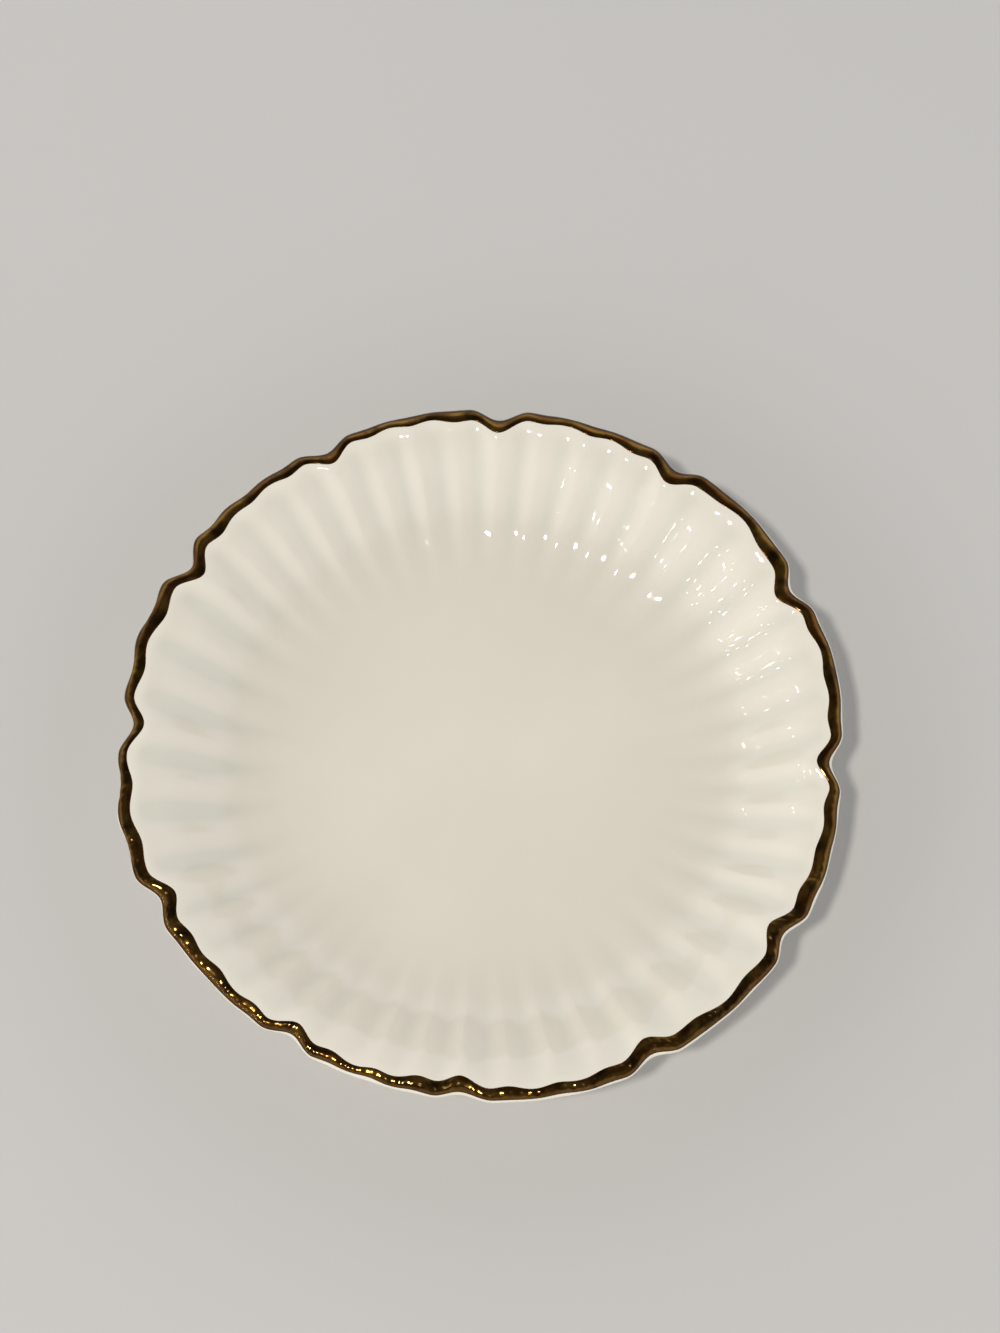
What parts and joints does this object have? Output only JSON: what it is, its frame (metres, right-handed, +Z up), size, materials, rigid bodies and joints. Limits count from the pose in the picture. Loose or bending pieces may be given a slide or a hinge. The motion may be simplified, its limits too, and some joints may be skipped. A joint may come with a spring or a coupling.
{
  "type": "ring dish",
  "caption": "Small round fluted porcelain ring dish: flat well, scalloped lip with notches, gilded edge, and a plain foot ring.",
  "frame": {"origin": "on the surface that the dish stands on, under the middle of its well", "axes": "+Z up out of the dish, +X to the middle of the notch that lies on the mirror line, between two lobes of four flutes each"},
  "size_m": [0.1078, 0.108, 0.016],
  "materials": {
    "glazed_porcelain": "clear glossy glaze over warm ivory porcelain",
    "bare_porcelain": "matte, wiped bare of glaze and sanded smooth",
    "fired_gold": "bright fired gold, brushed on by hand"
  },
  "bodies": {
    "root": {"dish_body": "glazed_porcelain", "foot_ring": "bare_porcelain", "gold_rim": "fired_gold"}
  },
  "joints": []
}
